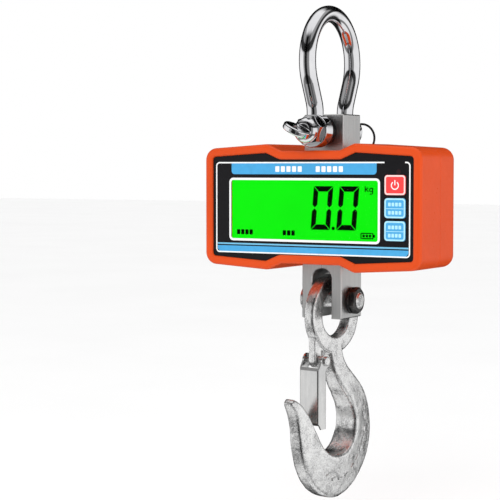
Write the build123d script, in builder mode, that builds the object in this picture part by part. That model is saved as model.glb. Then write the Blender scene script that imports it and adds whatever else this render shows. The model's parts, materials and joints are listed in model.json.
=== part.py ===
from build123d import *
import os
from math import cos, radians, sin

# A hanging crane scale. Millimetres, +Z up, X along the wide housing, the display faces -Y.
# The origin is the inside of the shackle's crown, where the scale hangs, over the column's axis.

# Heights of the main axes
BOLT_Z = -97.5
CASE_Z = -165.3
PIN_Z = -249.5

# Clearances: a shaft in its bore, a piece in its seat, and two pieces that move past each other
FIT = 0.05
SEAT = 0.2
MOVE = 0.3

# Load cell column
COLUMN_TOP = -82.5
COLUMN_STEP = -200.0
COLUMN_BOTTOM = -265.5
COLUMN_W = 40.0
UPPER_D = 33.5
LOWER_D = 40.0
COLUMN_EDGE = 0.9
SLOT_W = 19.4
SLOT_TOP = -220.3
SLOT_EDGE = 0.8
GAUGE_Z = -160.0
POCKET_R = 12.0
WEB_T = 5.0
FOIL_T = 0.35
COVER_T = 2.0
TAPPED_R = 2.05

# Housing
CASE_W = 216.0
FRONT_Y = -44.7
PANEL_Y = -42.0
SEAM_Y = -4.0
REAR_Y = 31.0
WALL = 3.0
REAR_WALL = 3.5
NOTCH_X = 29.0
NOTCH_H = 50.3
NOTCH_R = 4.0
APEX_X = 43.5
APEX_H = 56.3
APEX_R = 6.0
END_H = 52.3
CORNER_R = 11.0
REAR_R = 8.0
RIM_W = 7.8
RIM_OUTER_R = 3.4
RIM_INNER_R = 2.2
SEAM_EDGE = 0.4
OPENING_GAP = 0.5
GASKET_IN = 0.9
GASKET_W = 1.2
GASKET_H = 1.2
BOSS_R = 4.0
SCREW_R = 1.45
SCREW_HEAD_R = 2.9
SCREW_HEAD_H = 2.6
SCREW_SINK = 4.0
SCREW_GRIP = 10.0
SCREW_SOCKET_R = 1.3
SCREW_SOCKET_DEPTH = 1.4
SHORT_SCREW_L = 9.0
CASE_SCREWS = [(x, CASE_Z + z) for x in (-96.0, 96.0) for z in (-40.0, 40.0)]
CASE_SCREWS += [(x, CASE_Z + z) for x in (-32.0, 32.0) for z in (-42.0, 42.0)]

# Carrier plate between the column and the rear shell
CARRIER_W = 62.0
CARRIER_H = 64.0
CARRIER_T = 2.0
CARRIER_CORNER = 5.0
COLUMN_SCREW_HEAD_R = 3.6
COLUMN_SCREW_HEAD_H = 2.8
COLUMN_SCREW_SOCKET_R = 1.6
COLUMN_SCREW_L = 10.0
COLUMN_SCREWS = [(0.0, GAUGE_Z + 27), (0.0, GAUGE_Z - 27)]
CARRIER_SCREWS = [(x, GAUGE_Z + z) for x in (-26.0, 26.0) for z in (-24.0, 24.0)]

# Front panel and what is behind it
OVERLAY_T = 0.5
DISPLAY_X = -7.2
DISPLAY_Z = -167.6
DISPLAY_W = 147.0
DISPLAY_H = 52.6
WINDOW_T = 1.0
CELL_GLASS_T = 2.8
BACKLIGHT_T = 3.0
CARRIER_FRAME_W = 2.6
BUTTON_X = 82.8
BUTTON_W = 19.8
BUTTON_H = 17.2
BUTTON_R = 2.4
BUTTON_RISE = 0.7
BUTTON_TRAVEL = 0.6
BUTTON_LIP = 0.8
BUTTON_LIP_T = 1.2
BUTTON_Z = {"power_button": -144.9, "hold_button": -164.7, "tare_button": -184.3}
BOARD_X = 5.0
BOARD_W = 194.0
BOARD_H = 70.0
BOARD_Y = -33.0
BOARD_T = 1.6
BOARD_BOSS_R = 2.8
BOARD_SCREWS = [(x, CASE_Z + z) for x in (-88.0, 98.0) for z in (-26.0, 26.0)]
BOARD_CORNER = 2.0
BOARD_SCREW_R = 1.0
BOARD_SCREW_HEAD_R = 2.1
BOARD_SCREW_HEAD_H = 1.6
BOARD_SCREW_SOCKET_R = 0.9
BOARD_SCREW_L = 6.0
SWITCH_W = 6.0
SWITCH_H = 3.5
SWITCH_STEM_R = 1.7
SWITCH_STEM_H = 0.9
SENSOR_X = 86.0
SENSOR_Z = -133.6
SENSOR_R = 1.8
SENSOR_BODY = (5.0, 6.0, 3.0)
SENSOR_LENS_R = 1.5
CHIPS = [(40.0, -150.0), (-20.0, -180.0)]
CHIP_W = 12.0
SMALL_CHIPS = [(58.0, -150.0), (-40.0, -185.0), (5.0, -190.0)]
SMALL_CHIP = (6.0, 9.0)
CHIP_T = 1.5
CAPACITORS = [(-75.0, -140.0), (-66.0, -140.0)]
CAPACITOR_R = 3.2
CAPACITOR_H = 8.0
GAUGE_PLUG_X = 26.0
GAUGE_PLUG = (12.0, 6.0)
LEAD_X = -50.0
LEAD_Z = -150.0
LEAD_PITCH = 2.5
LEAD_R = 0.8
LEAD_PLUG = (8.0, 6.0)
PLUG_H = 4.0
BUZZER_AT = (60.0, -186.0)
BUZZER_R = 6.0
BUZZER_H = 7.0
GAUGE_CABLE_R = 1.1

# Battery bay
BAY_X = -66.0
CELL_R = 7.25
CELL_L = 50.5
CELL_NUB_R = 2.7
CELL_NUB_H = 1.4
CELL_PITCH = 15.2
CELL_Y = 19.5
TRAY_W = 64.0
TRAY_H = 61.0
TRAY_T = 1.4
TRAY_FRONT_Y = 10.6
DOOR_W = 68.0
DOOR_H = 80.0
DOOR_T = 2.2
DOOR_R = 5.0
DOOR_SCREWS = [(BAY_X, CASE_Z - 35.0), (BAY_X, CASE_Z + 35.0)]
DOOR_SCREW_HEAD_H = 1.2
CONTACT_W = 6.0
CONTACT_H = 12.0
CONTACT_T = 0.4
CONTACT_FOOT = 5.0

# Shackle. It stands nearer the display side on its bolt, with a thick spacer in front.
SHACKLE_Y = -4.0
BAR_R = 7.5
BOW_R = 43.3
BOW_TURN = 25.0
LEG_Y = 28.8
LEG_BEND_R = 25.0
EYE_R = 15.0
EYE_T = 13.0
BOLT_R = 8.0
BOLT_TIP_R = 6.0
BOLT_TIP_Y = 34.0
BOLT_END_Y = 41.5
COLLAR_R = 11.3
COLLAR_Y = -49.0
COLLAR_EDGE = 2.0
COLLAR_T = 6.4
NUT_AF = 23.0
NUT_TURN = 12.0
SPACER_R = 13.0
WING_Y = -67.0
WING_R = (12.5, 12.5)
WING_T = 6.0
WING_HOLE_Y = -69.0
WING_HOLE_R = 4.5
WING_TILT = 28.0
RING_Y = 37.5
RING_R = 13.0
RING_WIRE_R = 1.0
RING_HOLE_R = 2.2
RING_DROP = 12.3
RING_LEAN = 62.5

# Hook pin
PIN_R = 7.5
PIN_HEAD_R = 11.5
WASHER_R = 12.0
WASHER_T = 2.2
PIN_HEAD_T = 6.4
PIN_NUT_AF = 21.0
PIN_NUT_T = 5.2
PIN_NUT_TURN = 20.0
PIN_END_X = 29.5

# Hook. Its plane stands a few degrees out of square in the slot.
HOOK_TURN = 8.0
EYE_RING_R = 28.4
EYE_BAR_R = 7.8
EYE_BAR_HALF_T = 5.6
EYE_BAR_CORNER = 2.6
EYE_RING_Z = PIN_Z + PIN_R + SEAT + EYE_BAR_R - EYE_RING_R
LUG_S = -24.0
LUG_Z = -303.0
LUG_R = 6.5
LUG_HALF_T = 4.0

# Sections of the hook from the eye round to the tip: distance from the load line, height,
# half width in the hook's plane, half thickness on the inside of the bend and on the outside
HOOK_SECTIONS = [
    (0.0, -291.0, 9.0, 6.0, 6.0),
    (2.5, -306.0, 9.0, 7.4, 7.4),
    (11.8, -321.5, 10.8, 9.8, 8.0),
    (27.0, -337.5, 12.8, 11.8, 7.6),
    (37.3, -360.0, 15.0, 12.8, 6.9),
    (34.6, -383.0, 17.2, 13.2, 7.0),
    (19.0, -402.6, 18.8, 13.4, 7.2),
    (-3.0, -409.8, 20.2, 13.4, 7.4),
    (-23.8, -402.8, 17.6, 12.8, 7.0),
    (-37.9, -386.4, 13.9, 11.6, 6.6),
    (-45.2, -368.3, 10.6, 10.2, 6.4),
    (-51.2, -352.0, 7.5, 8.4, 6.2),
    (-59.6, -340.2, 4.7, 6.6, 5.8),
    (-65.0, -335.3, 2.6, 4.6, 4.6),
]
HOOK_CORNER = 0.45

# Latch
LATCH_HALF_W = 10.9
LATCH_T = 1.6
LATCH_EAR_R = 6.2
LATCH_WEB_S = -35.0
LATCH_OPEN_S = -22.6
LATCH_END_Z = -364.0
RIVET_R = 2.5
RIVET_HEAD_R = 4.4
RIVET_HEAD_T = 2.0
SPRING_WIRE_R = 0.55
SPRING_R = 3.8
SPRING_PITCH = 1.3
SPRING_TURNS = 1.5


def across(y):
    """The plane at this Y, drawn on in X and Z. A positive extrusion goes towards -Y."""
    return Plane.XZ.offset(-y)


def save(piece, name):
    piece.part.label = name
    export_step(piece.part, f"parts/{name}.step")


def case_outline(inset):
    """The housing's outline, notched at the top and bottom centre, drawn inside its edge by inset."""
    corners = [(NOTCH_X, NOTCH_H), (APEX_X, APEX_H), (CASE_W / 2, END_H)]
    right = corners + [(x, -z) for x, z in reversed(corners)]
    left = [(-x, -z) for x, z in right]
    with BuildSketch() as outline:
        with BuildLine():
            Polyline(*right, *left, close=True)
        make_face()
        for x, radius in ((CASE_W / 2, CORNER_R), (APEX_X, APEX_R), (NOTCH_X, NOTCH_R)):
            fillet(outline.vertices().filter_by(lambda v: abs(abs(v.X) - x) < 0.1), radius)
        if inset:
            offset(amount=-inset, kind=Kind.INTERSECTION)
    return outline.sketch.moved(Location((0, CASE_Z)))


def column_openings():
    """The space that the column takes in the housing's top and bottom walls."""
    with BuildPart() as space:
        for depth, height in ((UPPER_D, APEX_H), (LOWER_D, -APEX_H)):
            with BuildSketch(Plane.XY.offset(CASE_Z)):
                Rectangle(COLUMN_W + 2 * OPENING_GAP, depth + 2 * OPENING_GAP)
            extrude(amount=height)
    return space.part


def gasket_ring():
    """The gasket's path between the shells, broken where the column goes through."""
    with BuildSketch() as ring:
        add(case_outline(GASKET_IN))
        add(case_outline(GASKET_IN + GASKET_W), mode=Mode.SUBTRACT)
        with Locations((0, CASE_Z)):
            Rectangle(COLUMN_W + 2 * OPENING_GAP + 3, CASE_W, mode=Mode.SUBTRACT)
    return ring.sketch


os.makedirs("parts", exist_ok=True)
OPENINGS = column_openings()

# ---------------------------------------------------------------- load cell column
with BuildPart() as load_cell:
    with BuildSketch(Plane.XY.offset(COLUMN_STEP)):
        Rectangle(COLUMN_W, UPPER_D)
    extrude(amount=COLUMN_TOP - COLUMN_STEP)
    with BuildSketch(Plane.XY.offset(COLUMN_STEP)):
        Rectangle(COLUMN_W, LOWER_D)
    extrude(amount=COLUMN_BOTTOM - COLUMN_STEP)
    end_faces = load_cell.faces().sort_by(Axis.Z)
    chamfer(end_faces[0].edges() + end_faces[-1].edges(), COLUMN_EDGE)
    chamfer(load_cell.edges().filter_by(Axis.Z).filter_by(lambda e: e.length > 20), COLUMN_EDGE)
    # slot for the hook's eye, with an arched top
    with BuildSketch(across(0)):
        with Locations((0, SLOT_TOP - SLOT_W / 2)):
            Circle(SLOT_W / 2)
            Rectangle(SLOT_W, SLOT_TOP - COLUMN_BOTTOM, align=(Align.CENTER, Align.MAX))
    extrude(amount=LOWER_D, both=True, mode=Mode.SUBTRACT)
    mouth = load_cell.edges().filter_by(lambda e: abs(abs(e.center().Y) - LOWER_D / 2) < 0.1)
    mouth = mouth.filter_by(lambda e: abs(e.center().X) < SLOT_W / 2 + 0.1)
    chamfer(mouth, SLOT_EDGE)
    with BuildSketch(across(0)):
        with Locations((0, BOLT_Z)):
            Circle(BOLT_R + FIT)
    extrude(amount=UPPER_D, both=True, mode=Mode.SUBTRACT)
    with BuildSketch(Plane.YZ):
        with Locations((0, PIN_Z)):
            Circle(PIN_R + FIT)
    extrude(amount=COLUMN_W, both=True, mode=Mode.SUBTRACT)
    # gauge pockets, which leave a thin web between them
    for side in (-1, 1):
        with BuildSketch(across(side * UPPER_D / 2)):
            with Locations((0, GAUGE_Z)):
                Circle(POCKET_R)
        extrude(amount=side * (UPPER_D - WEB_T) / 2, mode=Mode.SUBTRACT)
    with BuildSketch(across(UPPER_D / 2)):
        with Locations(*COLUMN_SCREWS):
            Circle(TAPPED_R)
    extrude(amount=10, mode=Mode.SUBTRACT)
save(load_cell, "load_cell")

with BuildPart() as strain_gauges:
    for side in (-1, 1):
        with BuildSketch(across(side * WEB_T / 2)):
            with Locations((0, GAUGE_Z)):
                RectangleRounded(11, 11, 1)
        extrude(amount=-side * FOIL_T)
save(strain_gauges, "strain_gauges")

with BuildPart() as gauge_covers:
    for side in (-1, 1):
        with BuildSketch(across(side * UPPER_D / 2)):
            with Locations((0, GAUGE_Z)):
                Circle(POCKET_R - FIT)
        extrude(amount=side * COVER_T)
    with BuildSketch(across(0)):
        with Locations((0, GAUGE_Z)):
            Circle(GAUGE_CABLE_R + MOVE)
    extrude(amount=UPPER_D, mode=Mode.SUBTRACT)
save(gauge_covers, "gauge_covers")

# ---------------------------------------------------------------- housing shells
with BuildPart() as front_shell:
    with BuildSketch(across(SEAM_Y)):
        add(case_outline(0))
    extrude(amount=SEAM_Y - FRONT_Y)
    fillet(front_shell.faces().sort_by(Axis.Y)[0].edges(), RIM_OUTER_R)
    chamfer(front_shell.faces().sort_by(Axis.Y)[-1].edges(), SEAM_EDGE)
    # recess for the panel, which leaves a rounded rim
    with BuildSketch(across(PANEL_Y)):
        add(case_outline(RIM_W))
    extrude(amount=PANEL_Y - FRONT_Y, mode=Mode.SUBTRACT)
    rim = front_shell.faces().sort_by(Axis.Y)[0]
    fillet(rim.inner_wires()[0].edges(), RIM_INNER_R)
    with BuildSketch(across(SEAM_Y)):
        add(case_outline(WALL))
    extrude(amount=SEAM_Y - PANEL_Y - WALL, mode=Mode.SUBTRACT)
    # screw bosses and board bosses, standing on the front wall
    with BuildSketch(across(PANEL_Y + WALL)):
        with Locations(*CASE_SCREWS):
            Circle(BOSS_R)
    extrude(amount=PANEL_Y + WALL - SEAM_Y + MOVE)
    with BuildSketch(across(PANEL_Y + WALL)):
        with Locations(*BOARD_SCREWS):
            Circle(BOARD_BOSS_R)
    extrude(amount=PANEL_Y + WALL - BOARD_Y)
    with BuildSketch(across(SEAM_Y - MOVE)):
        with Locations(*CASE_SCREWS):
            Circle(SCREW_R + FIT)
    extrude(amount=SCREW_GRIP + 2, mode=Mode.SUBTRACT)
    with BuildSketch(across(BOARD_Y)):
        with Locations(*BOARD_SCREWS):
            Circle(BOARD_SCREW_R + FIT)
    extrude(amount=BOARD_SCREW_L - 1, mode=Mode.SUBTRACT)
    # display opening, button openings and the sensor's hole
    with BuildSketch(across(PANEL_Y + WALL)):
        with Locations((DISPLAY_X, DISPLAY_Z)):
            Rectangle(DISPLAY_W + 2 * SEAT, DISPLAY_H + 2 * SEAT)
        with Locations(*[(BUTTON_X, z) for z in BUTTON_Z.values()]):
            RectangleRounded(BUTTON_W + 2 * MOVE, BUTTON_H + 2 * MOVE, BUTTON_R)
        with Locations((SENSOR_X, SENSOR_Z)):
            Circle(SENSOR_R)
    extrude(amount=WALL, mode=Mode.SUBTRACT)
    with BuildSketch(across(SEAM_Y)):
        add(gasket_ring())
    extrude(amount=GASKET_H / 2, mode=Mode.SUBTRACT)
    add(OPENINGS, mode=Mode.SUBTRACT)
save(front_shell, "front_shell")

with BuildPart() as rear_shell:
    with BuildSketch(across(SEAM_Y)):
        add(case_outline(0))
    extrude(amount=SEAM_Y - REAR_Y)
    fillet(rear_shell.faces().sort_by(Axis.Y)[-1].edges(), REAR_R)
    chamfer(rear_shell.faces().sort_by(Axis.Y)[0].edges(), SEAM_EDGE)
    with BuildSketch(across(SEAM_Y)):
        add(case_outline(WALL))
    extrude(amount=SEAM_Y - REAR_Y + REAR_WALL, mode=Mode.SUBTRACT)
    # bosses for the case screws, the carrier plate and the door screws
    with BuildSketch(across(REAR_Y - REAR_WALL)):
        with Locations(*CASE_SCREWS):
            Circle(BOSS_R)
    extrude(amount=REAR_Y - REAR_WALL - SEAM_Y)
    with BuildSketch(across(REAR_Y - REAR_WALL)):
        with Locations(*CARRIER_SCREWS):
            Circle(BOSS_R)
    extrude(amount=REAR_Y - REAR_WALL - UPPER_D / 2 - CARRIER_T)
    with BuildSketch(across(REAR_Y - REAR_WALL)):
        with Locations(*DOOR_SCREWS):
            Circle(3.4)
    extrude(amount=10)
    # battery door recess and the bay's opening
    with BuildSketch(across(REAR_Y)):
        with Locations((BAY_X, CASE_Z)):
            RectangleRounded(DOOR_W + 2 * SEAT, DOOR_H + 2 * SEAT, DOOR_R + SEAT)
    extrude(amount=DOOR_T, mode=Mode.SUBTRACT)
    with BuildSketch(across(REAR_Y)):
        with Locations((BAY_X, CASE_Z)):
            Rectangle(TRAY_W + 2 * SEAT, TRAY_H + 2 * SEAT)
    extrude(amount=REAR_WALL, mode=Mode.SUBTRACT)
    # screw holes
    with BuildSketch(across(REAR_Y)):
        with Locations(*CASE_SCREWS):
            Circle(SCREW_R + 2 * FIT)
    extrude(amount=REAR_Y - SEAM_Y, mode=Mode.SUBTRACT)
    with BuildSketch(across(REAR_Y)):
        with Locations(*CASE_SCREWS):
            Circle(SCREW_HEAD_R + SEAT)
    extrude(amount=SCREW_SINK + SCREW_HEAD_H, mode=Mode.SUBTRACT)
    with BuildSketch(across(UPPER_D / 2 + CARRIER_T)):
        with Locations(*CARRIER_SCREWS):
            Circle(SCREW_R + FIT)
    extrude(amount=-7, mode=Mode.SUBTRACT)
    with BuildSketch(across(REAR_Y - DOOR_T)):
        with Locations(*DOOR_SCREWS):
            Circle(SCREW_R + FIT)
    extrude(amount=9, mode=Mode.SUBTRACT)
    with BuildSketch(across(SEAM_Y)):
        add(gasket_ring())
    extrude(amount=-GASKET_H / 2, mode=Mode.SUBTRACT)
    add(OPENINGS, mode=Mode.SUBTRACT)
save(rear_shell, "rear_shell")

with BuildPart() as shell_gasket:
    with BuildSketch(across(SEAM_Y)):
        add(gasket_ring())
    extrude(amount=GASKET_H / 2, both=True)
save(shell_gasket, "shell_gasket")

with BuildPart() as case_screws:
    with BuildSketch(across(REAR_Y - SCREW_SINK)):
        with Locations(*CASE_SCREWS):
            Circle(SCREW_HEAD_R)
            RegularPolygon(SCREW_SOCKET_R, 6, mode=Mode.SUBTRACT)
    extrude(amount=SCREW_HEAD_H)
    shank_y = REAR_Y - SCREW_SINK - SCREW_SOCKET_DEPTH
    with BuildSketch(across(shank_y)):
        with Locations(*CASE_SCREWS):
            Circle(SCREW_R)
    extrude(amount=shank_y - SEAM_Y + MOVE + SCREW_GRIP)
save(case_screws, "case_screws")

# ---------------------------------------------------------------- carrier plate
with BuildPart() as carrier_plate:
    with BuildSketch(across(UPPER_D / 2 + CARRIER_T)):
        with Locations((0, GAUGE_Z)):
            RectangleRounded(CARRIER_W, CARRIER_H, CARRIER_CORNER)
            Circle(POCKET_R - 1, mode=Mode.SUBTRACT)
        with Locations(*COLUMN_SCREWS):
            Circle(TAPPED_R + SEAT, mode=Mode.SUBTRACT)
        with Locations(*CARRIER_SCREWS):
            Circle(SCREW_R + SEAT, mode=Mode.SUBTRACT)
    extrude(amount=CARRIER_T)
save(carrier_plate, "carrier_plate")

with BuildPart() as carrier_screws:
    head_y = UPPER_D / 2 + CARRIER_T
    with BuildSketch(across(head_y + COLUMN_SCREW_HEAD_H)):
        with Locations(*COLUMN_SCREWS):
            Circle(COLUMN_SCREW_HEAD_R)
            RegularPolygon(COLUMN_SCREW_SOCKET_R, 6, mode=Mode.SUBTRACT)
    extrude(amount=COLUMN_SCREW_HEAD_H)
    with BuildSketch(across(head_y + COLUMN_SCREW_HEAD_H - SCREW_SOCKET_DEPTH)):
        with Locations(*COLUMN_SCREWS):
            Circle(TAPPED_R - FIT)
    extrude(amount=COLUMN_SCREW_L)
    with BuildSketch(across(UPPER_D / 2 - SCREW_HEAD_H)):
        with Locations(*CARRIER_SCREWS):
            Circle(SCREW_HEAD_R)
            RegularPolygon(SCREW_SOCKET_R, 6, mode=Mode.SUBTRACT)
    extrude(amount=-SCREW_HEAD_H)
    with BuildSketch(across(UPPER_D / 2 - SCREW_HEAD_H + SCREW_SOCKET_DEPTH)):
        with Locations(*CARRIER_SCREWS):
            Circle(SCREW_R)
    extrude(amount=-SHORT_SCREW_L)
save(carrier_screws, "carrier_screws")

# ---------------------------------------------------------------- front panel
with BuildPart() as panel_overlay:
    with BuildSketch(across(PANEL_Y)):
        add(case_outline(RIM_W + SEAT))
        with Locations((DISPLAY_X, DISPLAY_Z)):
            Rectangle(DISPLAY_W + SEAT, DISPLAY_H + SEAT, mode=Mode.SUBTRACT)
        with Locations(*[(BUTTON_X, z) for z in BUTTON_Z.values()]):
            RectangleRounded(
                BUTTON_W + 2 * MOVE, BUTTON_H + 2 * MOVE, BUTTON_R, mode=Mode.SUBTRACT)
    extrude(amount=OVERLAY_T)
save(panel_overlay, "panel_overlay")

with BuildPart() as display_window:
    with BuildSketch(across(PANEL_Y - OVERLAY_T + WINDOW_T)):
        with Locations((DISPLAY_X, DISPLAY_Z)):
            Rectangle(DISPLAY_W, DISPLAY_H)
    extrude(amount=WINDOW_T)
save(display_window, "display_window")

LCD_FRONT_Y = PANEL_Y - OVERLAY_T + WINDOW_T + 0.1
with BuildPart() as lcd_cell:
    with BuildSketch(across(LCD_FRONT_Y + CELL_GLASS_T)):
        with Locations((DISPLAY_X, DISPLAY_Z)):
            Rectangle(DISPLAY_W, DISPLAY_H)
    extrude(amount=CELL_GLASS_T)
save(lcd_cell, "lcd_cell")

BACKLIGHT_Y = LCD_FRONT_Y + CELL_GLASS_T
with BuildPart() as backlight:
    with BuildSketch(across(BACKLIGHT_Y + BACKLIGHT_T)):
        with Locations((DISPLAY_X, DISPLAY_Z)):
            RectangleRounded(DISPLAY_W - 3, DISPLAY_H - 3, 1.5)
    extrude(amount=BACKLIGHT_T)
save(backlight, "backlight")

with BuildPart() as display_frame:
    with BuildSketch(across(BOARD_Y)):
        with Locations((DISPLAY_X, DISPLAY_Z)):
            RectangleRounded(
                DISPLAY_W + 2 * CARRIER_FRAME_W, DISPLAY_H + 2 * CARRIER_FRAME_W, 2)
            Rectangle(DISPLAY_W - 2.6, DISPLAY_H - 2.6, mode=Mode.SUBTRACT)
    extrude(amount=BOARD_Y - PANEL_Y - WALL)
    with BuildSketch(across(BACKLIGHT_Y)):
        with Locations((DISPLAY_X, DISPLAY_Z)):
            Rectangle(DISPLAY_W + SEAT, DISPLAY_H + SEAT)
    extrude(amount=CELL_GLASS_T, mode=Mode.SUBTRACT)
save(display_frame, "display_frame")

for name, z in BUTTON_Z.items():
    with BuildPart() as button:
        with BuildSketch(across(PANEL_Y + WALL + MOVE)):
            with Locations((BUTTON_X, z)):
                RectangleRounded(BUTTON_W, BUTTON_H, BUTTON_R)
        extrude(amount=WALL + MOVE + OVERLAY_T + BUTTON_RISE)
        fillet(button.faces().sort_by(Axis.Y)[0].edges(), 0.6)
        with BuildSketch(across(PANEL_Y + WALL + MOVE + BUTTON_LIP_T)):
            with Locations((BUTTON_X, z)):
                RectangleRounded(BUTTON_W + 2 * BUTTON_LIP, BUTTON_H + 2 * BUTTON_LIP, BUTTON_R)
        extrude(amount=BUTTON_LIP_T)
    save(button, name)

with BuildPart() as button_switches:
    with BuildSketch(across(BOARD_Y)):
        with Locations(*[(BUTTON_X, z) for z in BUTTON_Z.values()]):
            RectangleRounded(SWITCH_W, SWITCH_W, 0.5)
    extrude(amount=SWITCH_H - SWITCH_STEM_H)
    with BuildSketch(across(BOARD_Y)):
        with Locations(*[(BUTTON_X, z) for z in BUTTON_Z.values()]):
            Circle(SWITCH_STEM_R)
    extrude(amount=SWITCH_H)
save(button_switches, "button_switches")

with BuildPart() as main_board:
    with BuildSketch(across(BOARD_Y + BOARD_T)):
        with Locations((BOARD_X, CASE_Z)):
            RectangleRounded(BOARD_W, BOARD_H, BOARD_CORNER)
        with Locations(*BOARD_SCREWS):
            Circle(BOARD_SCREW_R + SEAT, mode=Mode.SUBTRACT)
    extrude(amount=BOARD_T)
save(main_board, "main_board")

BOARD_BACK_Y = BOARD_Y + BOARD_T
with BuildPart() as board_components:
    with BuildSketch(across(BOARD_BACK_Y)):
        with Locations(*CHIPS):
            Rectangle(CHIP_W, CHIP_W)
        with Locations(*SMALL_CHIPS):
            Rectangle(*SMALL_CHIP)
    extrude(amount=-CHIP_T)
    with BuildSketch(across(BOARD_BACK_Y)):
        with Locations((GAUGE_PLUG_X, GAUGE_Z)):
            Rectangle(*GAUGE_PLUG)
        with Locations((LEAD_X + LEAD_PITCH / 2, LEAD_Z)):
            Rectangle(*LEAD_PLUG)
    extrude(amount=-PLUG_H)
    with BuildSketch(across(BOARD_BACK_Y)):
        with Locations(*CAPACITORS):
            Circle(CAPACITOR_R)
    extrude(amount=-CAPACITOR_H)
save(board_components, "board_components")

with BuildPart() as buzzer:
    with BuildSketch(across(BOARD_BACK_Y)):
        with Locations(BUZZER_AT):
            Circle(BUZZER_R)
    extrude(amount=-BUZZER_H)
    with BuildSketch(across(BOARD_BACK_Y + BUZZER_H)):
        with Locations(BUZZER_AT):
            Circle(BUZZER_R / 6)
    extrude(amount=BUZZER_H / 3, mode=Mode.SUBTRACT)
save(buzzer, "buzzer")

with BuildPart() as remote_sensor:
    with BuildSketch(across(BOARD_Y)):
        with Locations((SENSOR_X, SENSOR_Z)):
            Rectangle(SENSOR_BODY[0], SENSOR_BODY[1])
    extrude(amount=SENSOR_BODY[2])
    with BuildSketch(across(BOARD_Y - SENSOR_BODY[2])):
        with Locations((SENSOR_X, SENSOR_Z)):
            Circle(SENSOR_LENS_R)
    extrude(amount=2, taper=12)
save(remote_sensor, "remote_sensor")

with BuildPart() as board_screws:
    with BuildSketch(across(BOARD_BACK_Y + BOARD_SCREW_HEAD_H)):
        with Locations(*BOARD_SCREWS):
            Circle(BOARD_SCREW_HEAD_R)
            RegularPolygon(BOARD_SCREW_SOCKET_R, 6, mode=Mode.SUBTRACT)
    extrude(amount=BOARD_SCREW_HEAD_H)
    with BuildSketch(across(BOARD_BACK_Y + BOARD_SCREW_HEAD_H / 2)):
        with Locations(*BOARD_SCREWS):
            Circle(BOARD_SCREW_R)
    extrude(amount=BOARD_SCREW_L)
save(board_screws, "board_screws")

with BuildPart() as gauge_cable:
    with BuildLine() as route:
        FilletPolyline(
            (0, -UPPER_D / 2 + COVER_T, GAUGE_Z),
            (0, -UPPER_D / 2 - 3.75, GAUGE_Z),
            (GAUGE_PLUG_X, -UPPER_D / 2 - 4.75, GAUGE_Z),
            (GAUGE_PLUG_X, BOARD_BACK_Y + PLUG_H, GAUGE_Z),
            radius=2.6)
    path = route.wires()[0]
    with BuildSketch(Plane(origin=path @ 0, z_dir=path % 0)):
        Circle(GAUGE_CABLE_R)
    sweep(path=path)
save(gauge_cable, "gauge_cable")

# ---------------------------------------------------------------- battery bay
with BuildPart() as battery_tray:
    with BuildSketch(across(REAR_Y - DOOR_T)):
        with Locations((BAY_X, CASE_Z)):
            Rectangle(TRAY_W, TRAY_H)
    extrude(amount=REAR_Y - DOOR_T - TRAY_FRONT_Y)
    with BuildSketch(across(REAR_Y - DOOR_T)):
        with Locations((BAY_X, CASE_Z)):
            Rectangle(TRAY_W - 2 * TRAY_T, TRAY_H - 2 * TRAY_T)
    extrude(amount=REAR_Y - DOOR_T - TRAY_FRONT_Y - TRAY_T, mode=Mode.SUBTRACT)
    with BuildSketch(across(TRAY_FRONT_Y)):
        with Locations((LEAD_X, LEAD_Z), (LEAD_X + LEAD_PITCH, LEAD_Z)):
            Circle(LEAD_R + MOVE)
    extrude(amount=-TRAY_T, mode=Mode.SUBTRACT)
save(battery_tray, "battery_tray")

CELL_XS = [BAY_X + (n - 1.5) * CELL_PITCH for n in range(4)]
for number, x in enumerate(CELL_XS, 1):
    up = 1 if number % 2 else -1
    can_h = CELL_L - CELL_NUB_H
    with BuildPart() as cell:
        with BuildSketch(Plane.XY.offset(CASE_Z - up * CELL_L / 2)):
            with Locations((x, CELL_Y)):
                Circle(CELL_R)
        extrude(amount=up * can_h)
        fillet(cell.edges().filter_by(GeomType.CIRCLE), 0.7)
        with BuildSketch(Plane.XY.offset(CASE_Z + up * (CELL_L / 2 - CELL_NUB_H))):
            with Locations((x, CELL_Y)):
                Circle(CELL_NUB_R)
        extrude(amount=up * CELL_NUB_H)
    save(cell, f"aa_cell_{number}")

with BuildPart() as battery_contacts:
    wall_h = TRAY_H / 2 - TRAY_T
    low_y = CELL_Y - CONTACT_FOOT
    high_y = CELL_Y + CONTACT_FOOT
    for x in CELL_XS:
        for end in (-1, 1):
            root_z = CASE_Z + end * wall_h
            crest_z = CASE_Z + end * (CELL_L / 2 + SEAT)
            with BuildSketch(Plane.YZ.offset(x - CONTACT_W / 2)):
                with Locations((CELL_Y, root_z - end * CONTACT_T / 2)):
                    Rectangle(CONTACT_H, CONTACT_T)
                with BuildLine():
                    ThreePointArc((low_y, root_z), (CELL_Y, crest_z), (high_y, root_z))
                    Line((high_y, root_z), (high_y - CONTACT_T, root_z))
                    ThreePointArc(
                        (high_y - CONTACT_T, root_z),
                        (CELL_Y, crest_z + end * CONTACT_T),
                        (low_y + CONTACT_T, root_z))
                    Line((low_y + CONTACT_T, root_z), (low_y, root_z))
                make_face()
            extrude(amount=CONTACT_W)
save(battery_contacts, "battery_contacts")

with BuildPart() as battery_lead:
    for x in (LEAD_X, LEAD_X + LEAD_PITCH):
        with BuildLine() as route:
            FilletPolyline(
                (x, TRAY_FRONT_Y + TRAY_T, LEAD_Z),
                (x, 3, LEAD_Z),
                (x, -8, LEAD_Z - 7),
                (x, -19, LEAD_Z),
                (x, BOARD_BACK_Y + PLUG_H, LEAD_Z),
                radius=6)
        path = route.wires()[0]
        with BuildSketch(Plane(origin=path @ 0, z_dir=path % 0)):
            Circle(LEAD_R)
        sweep(path=path)
save(battery_lead, "battery_lead")

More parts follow.
